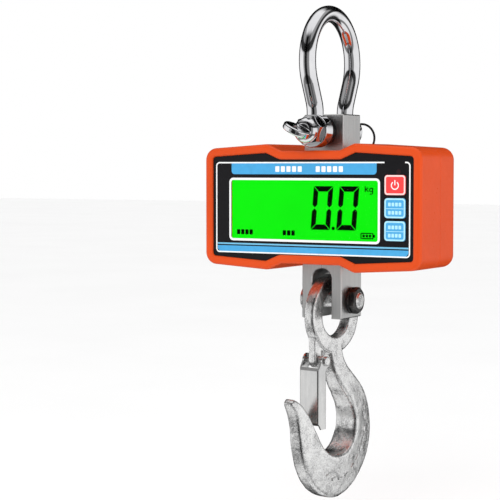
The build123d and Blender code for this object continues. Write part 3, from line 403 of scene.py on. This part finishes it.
def rounded_box(x0, x1, z0, z1, radius, steps=6):
    """Points round a rectangle with rounded corners, anticlockwise seen from the front."""
    points = []
    corners = ((x1 - radius, z0 + radius, -90), (x1 - radius, z1 - radius, 0),
               (x0 + radius, z1 - radius, 90), (x0 + radius, z0 + radius, 180))
    for cx, cz, start in corners:
        for step in range(steps + 1):
            angle = math.radians(start + 90 * step / steps)
            points.append((cx + radius * math.cos(angle), cz + radius * math.sin(angle)))
    return points


def arc(cx, cz, radius, start, end, steps=24):
    angles = [math.radians(start + (end - start) * step / steps) for step in range(steps + 1)]
    return [(cx + radius * math.cos(a), cz + radius * math.sin(a)) for a in angles]


class Print:
    """Flat shapes of one ink, gathered into one thin piece that stands on a surface."""

    def __init__(self, name, body, material, slot, surface_y, thickness=INK_T):
        self.facts = (name, body, material, slot)
        self.back = surface_y
        self.front = surface_y - thickness
        self.verts, self.faces = [], []

    def add(self, outline):
        """A filled shape without holes, its points anticlockwise seen from the front."""
        base, count = len(self.verts), len(outline)
        for y in (self.back, self.front):
            self.verts += [(x * MM, y * MM, z * MM) for x, z in outline]
        self.faces.append([base + count + i for i in range(count)])
        self.faces.append([base + i for i in reversed(range(count))])
        for i in range(count):
            j = (i + 1) % count
            self.faces.append([base + i, base + j, base + count + j, base + count + i])

    def loop(self, outer, inner):
        """A closed band between two outlines with as many points as each other."""
        base, count = len(self.verts), len(outer)
        for outline in (outer, inner):
            for y in (self.back, self.front):
                self.verts += [(x * MM, y * MM, z * MM) for x, z in outline]
        for i in range(count):
            j = (i + 1) % count
            a, b, c, d = (base + row * count for row in range(4))
            self.faces += [
                [b + i, b + j, d + j, d + i], [a + i, c + i, c + j, a + j],
                [a + i, a + j, b + j, b + i], [c + i, d + i, d + j, c + j]]

    def stroke(self, points, width):
        """An open line of constant width with square ends."""
        left, right = [], []
        for i, point in enumerate(points):
            before, after = points[max(i - 1, 0)], points[min(i + 1, len(points) - 1)]
            along = Vector((after[0] - before[0], after[1] - before[1])).normalized() * width / 2
            left.append((point[0] - along.y, point[1] + along.x))
            right.append((point[0] + along.y, point[1] - along.x))
        for i in range(len(points) - 1):
            self.add([right[i], right[i + 1], left[i + 1], left[i]])

    def make(self):
        name, body, material, slot = self.facts
        return new_piece(name, body, material, self.verts, self.faces)


def inset(x0, x1, z0, z1, by):
    return x0 + by, x1 - by, z0 + by, z1 - by


# ------------------------------------------------------------------ panel prints
FILM_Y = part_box("panel_overlay")[0].y / MM
CELL_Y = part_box("lcd_cell")[0].y / MM
WINDOW_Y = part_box("display_window")[0].y / MM

white = Print("panel_white_print", "scale", WHITE_INK, "white_plastic", FILM_Y)
# rim line, broken at the top right
x0, x1, z0, z1 = inset(*PANEL_RIM, PRINT_CORNER)
rim_path = [(PANEL_RIM_GAP[0], PANEL_RIM[3])]
for corner_x, corner_z, start in ((x0, z1, 90), (x0, z0, 180), (x1, z0, 270), (x1, z1, 0)):
    rim_path += arc(corner_x, corner_z, PRINT_CORNER, start, start + 90, 8)
rim_path += [(PANEL_RIM_GAP[1], PANEL_RIM[3])]
white.stroke(rim_path, RIM_W)
for left, right in HEADER_WORDS:
    pitch = (right - left) / WORD_MARKS
    for mark in range(WORD_MARKS):
        start = left + mark * pitch
        low, high = HEADER_WORD_Z - WORD_HALF_H, HEADER_WORD_Z + WORD_HALF_H
        white.add(rounded_box(start, start + pitch * 0.72, low, high, 0.6, 3))
white.make()

sky = Print("panel_blue_print", "scale", SKY_INK, "blue_button", FILM_Y, INK_T * 0.7)
hx0, hx1, hz0, hz1 = HEADER
header_outline = [(hx1, hz1), (hx0, hz1)]
header_outline += arc(hx0 + PRINT_CORNER, hz0 + PRINT_CORNER, PRINT_CORNER, 180, 270, 8)
header_outline += arc(hx1 - PRINT_CORNER, hz0 + PRINT_CORNER, PRINT_CORNER, 270, 360, 8)
sky.add(header_outline)
bx0, bx1, bz0, bz1 = BROAD_STRIPE
sky.add([
    (bx0 + STRIPE_CHAMFER, bz0), (bx1 - STRIPE_CHAMFER, bz0), (bx1, bz0 + STRIPE_CHAMFER),
    (bx1, bz1), (bx0, bz1), (bx0, bz0 + STRIPE_CHAMFER)])
sky.make()

pale = Print("panel_pale_print", "scale", STRIPE_INK, "white_plastic", FILM_Y, INK_T * 0.8)
tx0, tx1, tz0, tz1 = THIN_STRIPE
pale.add([(tx0, tz0), (tx1, tz0), (tx1, tz1), (tx0, tz1)])
pale.make()

# white line round the display, half on the film and half on the window
display_rim = Print("display_rim_print", "scale", WHITE_INK, "white_plastic", min(FILM_Y, WINDOW_Y) - 0.01)
outer = rounded_box(*DISPLAY_RIM, 4.0)
inner = rounded_box(*inset(*DISPLAY_RIM, DISPLAY_RIM_W), 2.2)
display_rim.loop(outer, inner)
display_rim.make()

# the window of the remote control's sensor
sensor_lo, sensor_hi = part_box("remote_sensor")
sensor_x = (sensor_lo.x + sensor_hi.x) / 2 / MM
sensor_z = (sensor_lo.z + sensor_hi.z) / 2 / MM
sensor = Print("sensor_window", "scale", SENSOR_INK, "black_plastic", FILM_Y)
sensor.add(arc(sensor_x, sensor_z, SENSOR_R, 0, 345, 23))
sensor.make()


# ------------------------------------------------------------------ digits
def digit_zero(left):
    """The six lit segments of a seven-segment zero, slanted, as outlines."""
    height, mid = DIGIT_TOP - DIGIT_BOTTOM, (DIGIT_TOP - DIGIT_BOTTOM) / 2
    w, g = SEGMENT_W, SEGMENT_GAP

    def upright(x_out, x_in, low, high, pointed_low):
        tip = 0.5 * w
        if pointed_low:
            return [
                (x_out, low + tip), ((x_out + x_in) / 2, low), (x_in, low + tip),
                (x_in, high - w), (x_out, high)]
        return [
            (x_out, low), (x_in, low + w), (x_in, high - tip),
            ((x_out + x_in) / 2, high), (x_out, high - tip)]

    shapes = [
        [(g, 0), (DIGIT_W - g, 0), (DIGIT_W - w - g, w), (w + g, w)],
        [(w + g, height - w), (DIGIT_W - w - g, height - w), (DIGIT_W - g, height), (g, height)],
    ]
    for x_out, x_in in ((0, w), (DIGIT_W, DIGIT_W - w)):
        shapes.append(upright(x_out, x_in, g, mid - g, False))
        shapes.append(upright(x_out, x_in, mid + g, height - g, True))
    placed = []
    for shape in shapes:
        points = [(left + x + SLANT * z, DIGIT_BOTTOM + z) for x, z in shape]
        area = sum(a[0] * b[1] - b[0] * a[1] for a, b in zip(points, points[1:] + points[:1]))
        placed.append(points if area > 0 else points[::-1])
    return placed


segments = Print("display_segments", "scale", SEGMENT_INK, "black_plastic", CELL_Y, SEGMENT_T)
for left in DIGIT_LEFTS:
    for shape in digit_zero(left):
        segments.add(shape)
segments.add(rounded_box(*POINT, DIGIT_BOTTOM, DIGIT_BOTTOM + 3.0, 1.2, 4))
# battery state: a case, a nub and three bars
segments.loop(rounded_box(*BATTERY, 0.9, 3), rounded_box(*inset(*BATTERY, BATTERY_WALL), 0.4, 3))
segments.add([(61.8, -190.4), (63.2, -190.4), (63.2, -188.0), (61.8, -188.0)])
for bar in range(3):
    x = 51.3 + 3.1 * bar
    segments.add([(x, -190.4), (x + 2.2, -190.4), (x + 2.2, -188.0), (x, -188.0)])
# unit mark, and the marks of the two states at the bottom
segments.stroke([(53.8, -151.0), (53.8, -146.2)], 0.95)
segments.stroke([(54.1, -149.3), (56.5, -147.4)], 0.9)
segments.stroke([(54.9, -148.9), (56.8, -151.0)], 0.9)
segments.stroke(arc(59.4, -149.3, 1.5, 10, 350, 16), 0.9)
segments.stroke([(60.9, -147.6), (60.9, -151.6)] + arc(59.5, -151.6, 1.4, 0, -140, 6), 0.9)
for left, count in STATE_MARKS:
    for mark in range(count):
        x = left + mark * STATE_PITCH
        segments.add(rounded_box(x, x + 3.4, -190.4, -185.8, 0.6, 3))
segments.make()

# ------------------------------------------------------------------ buttons
for name, rim_ink, mark_ink in (
        ("power_button", PINK_INK, WHITE_INK),
        ("hold_button", PALE_INK, PALE_INK),
        ("tare_button", PALE_INK, PALE_INK)):
    low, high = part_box(name)
    face_y = low.y / MM
    cx, cz = (low.x + high.x) / 2 / MM, (low.z + high.z) / 2 / MM
    half_w, half_h = BUTTON_HALF
    rim = Print(name + "_rim", name, rim_ink, "white_plastic", face_y)
    edges = (cx - half_w, cx + half_w, cz - half_h, cz + half_h)
    rim.loop(rounded_box(*edges, 2.8), rounded_box(*inset(*edges, BUTTON_RIM_W), 1.6))
    rim.make()
    marks = Print(name + "_marks", name, mark_ink, "white_plastic", face_y)
    if name == "power_button":
        marks.stroke(arc(cx, cz - 0.3, 3.3, 125, 415, 30), 0.9)
        marks.stroke([(cx, cz - 0.2), (cx, cz + 4.2)], 0.9)
    else:
        marks.stroke([(cx - half_w + 1.2, cz - 0.4), (cx + half_w - 1.2, cz - 0.4)], 0.55)
        for row_z in (cz + 3.2, cz - 3.9):
            for mark in range(BUTTON_MARKS):
                x = cx - 6.3 + mark * BUTTON_MARK_PITCH
                marks.add(rounded_box(x, x + 2.5, row_z - 1.6, row_z + 1.6, 0.5, 3))
    marks.make()


# ------------------------------------------------------------------ hook
def hook_place(s, z, out=0.0):
    """A point in the hook's plane, s towards its back, and out towards +X, in millimetres."""
    c, t = math.cos(HOOK_TURN), math.sin(HOOK_TURN)
    return Vector((s * t + out * c, s * c - out * t, z)) * MM


def forged_copy(node_name, name, body, voxel, rounding, lumps, material):
    """A piece with the shape of a CAD node, its corners rounded and its skin slightly uneven, as forged."""
    piece = bpy.data.objects.new(name, NODES[node_name].data.copy())
    bpy.context.scene.collection.objects.link(piece)
    piece.data.materials.clear()
    piece.data.materials.append(material)
    remesh = piece.modifiers.new("remesh", "REMESH")
    remesh.mode = "VOXEL"
    remesh.voxel_size = voxel
    remesh.use_smooth_shade = True
    smooth = piece.modifiers.new("smooth", "SMOOTH")
    smooth.factor = 0.5
    smooth.iterations = rounding
    texture = bpy.data.textures.new(name + "_lumps", "CLOUDS")
    texture.noise_scale = 0.009
    texture.noise_depth = 3
    displace = piece.modifiers.new("lumps", "DISPLACE")
    displace.texture = texture
    displace.texture_coords = "LOCAL"
    displace.strength = lumps
    displace.mid_level = 0.5
    bpy.context.view_layer.update()
    evaluated = piece.evaluated_get(bpy.context.evaluated_depsgraph_get())
    final = bpy.data.meshes.new_from_object(evaluated)
    piece.modifiers.clear()
    piece.data = final
    final.shade_smooth()
    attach(piece, body)
    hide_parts(node_name)
    return piece


hook = forged_copy("hook", "hook_forging", "hook", 0.0009, 6, 0.0007, MATERIALS["zinc_steel"])
hook_tree = BVHTree.FromPolygons([v.co for v in hook.data.vertices], [p.vertices for p in hook.data.polygons])


def raised_marks():
    """Short raised strokes on the hook's flanks, where a maker forges the rating. They say nothing."""
    verts, faces = [], []
    normal = hook_place(0, 0, 1).normalized()
    places = [(38.0, -352.0, -80), (37.5, -372.0, -92), (35.5, -381.0, -100), (31.5, -389.5, -115),
              (26.0, -397.5, -130), (19.0, -404.0, -140), (10.0, -410.0, -160), (0.0, -412.5, 180),
              (-10.0, -411.0, 200), (-19.0, -406.5, 215)]
    for side in (1, -1):
        for s, z, heading in places:
            start = hook_place(s, z, side * 40)
            hit = hook_tree.ray_cast(start, -side * normal)
            if hit[0] is None:
                continue
            turn = math.radians(heading)
            along = hook_place(math.cos(turn), math.sin(turn)).normalized()
            across = along.cross(normal).normalized()
            base = len(verts)
            for half_l, half_w, up in ((2.9, 1.1, -0.4), (2.8, 1.0, 0.5), (2.4, 0.55, 0.85)):
                for a, b in ((-1, -1), (1, -1), (1, 1), (-1, 1)):
                    corner = along * a * half_l + across * b * half_w + normal * side * up
                    verts.append(hit[0] + corner * MM)
            for ring in range(2):
                for i in range(4):
                    j = (i + 1) % 4
                    low, high = base + 4 * ring, base + 4 * ring + 4
                    faces.append([low + i, low + j, high + j, high + i])
            faces.append([base + 8, base + 9, base + 10, base + 11])
            faces.append([base + 3, base + 2, base + 1, base])
    piece = new_piece("hook_marks", "hook", MATERIALS["zinc_steel"], verts, faces)
    clean = bmesh.new()
    clean.from_mesh(piece.data)
    bmesh.ops.recalc_face_normals(clean, faces=clean.faces)
    clean.to_mesh(piece.data)
    clean.free()


raised_marks()


# ------------------------------------------------------------------ camera, stage and light
def add_camera():
    camera = bpy.data.objects.new("camera", bpy.data.cameras.new("camera"))
    bpy.context.scene.collection.objects.link(camera)
    stand = math.radians(CAMERA_AZIMUTH)
    camera.location = (CAMERA_DISTANCE * math.sin(stand), -CAMERA_DISTANCE * math.cos(stand), CAMERA_HEIGHT)
    camera.rotation_euler = (math.radians(90 - CAMERA_PITCH), 0, math.radians(CAMERA_HEADING))
    camera.data.lens = CAMERA_LENS
    camera.data.sensor_width = 36
    bpy.context.scene.camera = camera


def add_stage():
    """A plain pale floor. The bright metal doesn't mirror it."""
    floor_z = rest_lo.z - FLOOR_GAP
    corners = [(x * FLOOR_HALF, y * FLOOR_HALF, floor_z) for x, y in ((-1, -1), (1, -1), (1, 1), (-1, 1))]
    mesh = bpy.data.meshes.new("floor")
    mesh.from_pydata(corners, [], [(0, 1, 2, 3)])
    floor = bpy.data.objects.new("floor", mesh)
    floor.visible_glossy = False
    bpy.context.scene.collection.objects.link(floor)
    s = Shader("pale_paper", Roughness=0.9, Specular_IOR_Level=0.1)
    s.set("Base Color", s.ramp(s.noise(3, 3), (0.3, (0.95, 0.95, 0.95)), (0.7, (0.97, 0.97, 0.97))))
    mesh.materials.append(s.material)


def add_light(name, place, target, size, power, glossy):
    light = bpy.data.lights.new(name, "AREA")
    light.shape = "RECTANGLE"
    light.size, light.size_y = size
    light.energy = power
    lamp = bpy.data.objects.new(name, light)
    lamp.location = place
    lamp.rotation_euler = (Vector(target) - Vector(place)).to_track_quat("-Z", "Y").to_euler()
    lamp.visible_glossy = glossy
    bpy.context.scene.collection.objects.link(lamp)


def add_world():
    """A white studio. Polished metal sees dark and grey flags standing round the scale."""
    world = bpy.data.worlds.new("studio")
    bpy.context.scene.world = world
    world.use_nodes = True
    tree = world.node_tree
    background = tree.nodes["Background"]

    def math_node(operation, a, b=None):
        node = tree.nodes.new("ShaderNodeMath")
        node.operation = operation
        for socket, value in zip(node.inputs, (a, b)):
            if isinstance(value, bpy.types.NodeSocket):
                tree.links.new(value, socket)
            elif value is not None:
                socket.default_value = value
        return node.outputs[0]

    direction = tree.nodes.new("ShaderNodeTexCoord").outputs["Generated"]

    def along(axis):
        node = tree.nodes.new("ShaderNodeVectorMath")
        node.operation = "DOT_PRODUCT"
        node.inputs[1].default_value = axis
        tree.links.new(direction, node.inputs[0])
        return node.outputs["Value"]

    def flags(factor, stops):
        """Brightness along a factor from 0 to 1."""
        node = tree.nodes.new("ShaderNodeValToRGB")
        elements = node.color_ramp.elements
        for position, bright in stops[1:-1]:
            elements.new(position).color = (bright, bright, bright, 1.0)
        for element, bright in ((elements[0], stops[0][1]), (elements[len(elements) - 1], stops[-1][1])):
            element.color = (bright, bright, bright, 1.0)
        tree.links.new(factor, node.inputs["Fac"])
        return node.outputs["Color"]

    heading = math.radians(CAMERA_HEADING)
    towards = along((math.sin(heading), -math.cos(heading), 0.0))
    right = along((math.cos(heading), math.sin(heading), 0.0))
    rise = along((0.0, 0.0, 1.0))
    turn = math_node("ADD", math_node("DIVIDE", math_node("ARCTAN2", right, towards), 2 * math.pi), 0.5)
    round_about = flags(turn, [(degrees / 360 + 0.5, bright) for degrees, bright in STUDIO_FLAGS])
    height = math_node("ADD", math_node("MULTIPLY", rise, 0.5), 0.5)
    tiers = flags(height, [(sine / 2 + 0.5, bright) for sine, bright in STUDIO_TIERS])
    bands = math_node("MULTIPLY", round_about, tiers)
    # white overhead and underfoot
    steep = tree.nodes.new("ShaderNodeMapRange")
    steep.interpolation_type = "SMOOTHSTEP"
    steep.inputs["From Min"].default_value = 0.72
    steep.inputs["From Max"].default_value = 0.92
    tree.links.new(math_node("ABSOLUTE", rise), steep.inputs["Value"])
    glossy = tree.nodes.new("ShaderNodeLightPath").outputs["Is Glossy Ray"]
    seen = math_node("MULTIPLY", glossy, math_node("SUBTRACT", 1.0, steep.outputs["Result"]))
    mix = tree.nodes.new("ShaderNodeMix")
    mix.data_type = "RGBA"
    tree.links.new(seen, mix.inputs["Factor"])
    mix.inputs[6].default_value = (1.0, 1.0, 1.0, 1.0)
    tree.links.new(bands, mix.inputs[7])
    tree.links.new(mix.outputs[2], background.inputs["Color"])
    background.inputs["Strength"].default_value = 1.0


add_camera()
add_stage()
add_world()
centre = (0.0, 0.0, -0.2)
add_light("key", (0.3, -1.6, 0.9), centre, (1.2, 1.2), 8.0, False)
add_light("fill", (1.5, -0.7, 0.3), centre, (1.0, 1.4), 3.0, False)

bpy.context.scene.view_settings.view_transform = "Standard"
